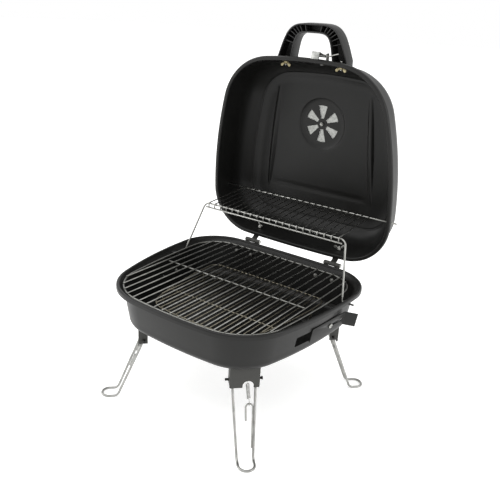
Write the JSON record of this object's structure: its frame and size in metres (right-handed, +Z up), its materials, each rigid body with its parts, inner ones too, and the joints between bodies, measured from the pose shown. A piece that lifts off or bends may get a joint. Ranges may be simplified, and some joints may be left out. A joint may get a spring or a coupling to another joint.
{
  "type": "folding camp grill",
  "caption": "Portable charcoal grill with a hinged suitcase-style lid, carry handle, folding wire legs, warming rack and side air vents.",
  "frame": {"origin": "on the ground under the middle of the whole object, lid open", "axes": "+Z up, -Y towards the front where the cook stands, +X to the right as seen from the front"},
  "size_m": [0.3806, 0.4364, 0.6179],
  "materials": {
    "enamel": "satin heat-resistant enamel",
    "blackSteel": "black coated steel",
    "chrome": "bright plated wire",
    "zinc": "zinc plated steel",
    "brass": "yellow passivated",
    "plastic": "fine matt moulding"
  },
  "bodies": {
    "bowl_body": {"bowl": "enamel", "bowl_hinge_bracket_left": "blackSteel", "bowl_hinge_bracket_right": "blackSteel", "hinge_pin_left": "zinc", "hinge_pin_right": "zinc", "bowl_hinge_bolt_left_inner": "zinc", "bowl_hinge_bolt_left_outer": "zinc", "bowl_hinge_bolt_right_inner": "zinc", "bowl_hinge_bolt_right_outer": "zinc", "leg_bracket_front_right": "blackSteel", "leg_bracket_front_left": "blackSteel", "leg_bracket_rear_right": "blackSteel", "leg_bracket_rear_left": "blackSteel", "bracket_rivet_front_right": "zinc", "bracket_rivet_front_left": "zinc", "bracket_rivet_rear_right": "zinc", "bracket_rivet_rear_left": "zinc", "leg_pin_front_right": "blackSteel", "leg_pin_front_left": "blackSteel", "leg_pin_rear_right": "blackSteel", "leg_pin_rear_left": "blackSteel", "slider_screw_left": "zinc", "slider_screw_right": "zinc"},
    "lid_body": {"lid_shell": "enamel", "carry_handle": "plastic", "latch_bracket": "zinc", "damper_screw": "zinc", "damper_nut": "zinc", "lid_hinge_bracket_left": "blackSteel", "lid_hinge_bracket_right": "blackSteel", "lid_hinge_bolt_left": "zinc", "lid_hinge_bolt_right": "zinc", "lid_hinge_wing_nut_left": "zinc", "lid_hinge_wing_nut_right": "zinc", "handle_bolt_left": "zinc", "handle_bolt_right": "zinc", "handle_wing_nut_left": "brass", "handle_wing_nut_right": "brass"},
    "damper_body": {"vent_damper": "zinc"},
    "latch_body": {"latch_hook": "zinc", "latch_wire": "zinc"},
    "rack_body": {"warming_rack": "chrome"},
    "brace_body": {"brace": "chrome"},
    "cooking_grate_body": {"cooking_grate": "chrome"},
    "charcoal_grate_body": {"charcoal_grate": "chrome"},
    "slider_right_body": {"vent_slider_right": "enamel"},
    "slider_left_body": {"vent_slider_left": "enamel"},
    "leg_front_right_body": {"leg_front_right": "chrome", "leg_spring_front_right": "zinc"},
    "leg_front_left_body": {"leg_front_left": "chrome", "leg_spring_front_left": "zinc"},
    "leg_rear_right_body": {"leg_rear_right": "chrome", "leg_spring_rear_right": "zinc"},
    "leg_rear_left_body": {"leg_rear_left": "chrome", "leg_spring_rear_left": "zinc"}
  },
  "joints": [
    {"name": "lid_hinge", "type": "hinge", "parent": "bowl_body", "child": "lid_body", "pos_m": [-0.00139, 0.13389, 0.20812], "axis": [-1, 0, 0], "range_deg": [-86.5, 0]},
    {"name": "brace_pivot", "type": "hinge", "parent": "bowl_body", "child": "brace_body", "pos_m": [-0.00139, 0.02184, 0.19852], "axis": [-1, 0, 0], "range_deg": [-86.5, 0]},
    {"name": "rack_pivot", "type": "hinge", "parent": "lid_body", "child": "rack_body", "pos_m": [-0.00139, 0.16589, 0.30052], "axis": [-1, 0, 0], "range_deg": [0, 86.5]},
    {"name": "latch_swing", "type": "hinge", "parent": "lid_body", "child": "latch_body", "pos_m": [0.02961, 0.12934, 0.56757], "axis": [-1, 0, 0], "range_deg": [-20, 0]},
    {"name": "vent_damper_turn", "type": "hinge", "parent": "lid_body", "child": "damper_body", "pos_m": [-0.00139, 0.20964, 0.44224], "axis": [0, 0.9981, 0.061], "range_deg": [0, 30]},
    {"name": "leg_fold_front_right", "type": "hinge", "parent": "bowl_body", "child": "leg_front_right_body", "pos_m": [0.10276, -0.15483, 0.11352], "axis": [-0.7071, -0.7071, 0], "range_deg": [-112, 0]},
    {"name": "leg_fold_front_left", "type": "hinge", "parent": "bowl_body", "child": "leg_front_left_body", "pos_m": [-0.10555, -0.15483, 0.11352], "axis": [-0.7071, 0.7071, 0], "range_deg": [-112, 0]},
    {"name": "leg_fold_rear_right", "type": "hinge", "parent": "bowl_body", "child": "leg_rear_right_body", "pos_m": [0.12906, 0.06552, 0.11352], "axis": [0.7071, -0.7071, 0], "range_deg": [-112, 0]},
    {"name": "leg_fold_rear_left", "type": "hinge", "parent": "bowl_body", "child": "leg_rear_left_body", "pos_m": [-0.13185, 0.06552, 0.11352], "axis": [0.7071, 0.7071, 0], "range_deg": [-112, 0]},
    {"name": "slider_travel_right", "type": "slide", "parent": "bowl_body", "child": "slider_right_body", "axis": [0.1045, 0.9945, 0], "range_m": [-0.034, 0]},
    {"name": "slider_travel_left", "type": "slide", "parent": "bowl_body", "child": "slider_left_body", "axis": [-0.1045, 0.9945, 0], "range_m": [-0.004, 0.03]},
    {"name": "cooking_grate_lift", "type": "slide", "parent": "bowl_body", "child": "cooking_grate_body", "axis": [0, 0, 1], "range_m": [0, 0.014]},
    {"name": "charcoal_grate_lift", "type": "slide", "parent": "bowl_body", "child": "charcoal_grate_body", "axis": [0, 0, 1], "range_m": [0, 0.02]}
  ],
  "couplings": [
    {"joint": "brace_pivot", "follows": "lid_hinge", "ratio": 1},
    {"joint": "rack_pivot", "follows": "lid_hinge", "ratio": -1}
  ]
}
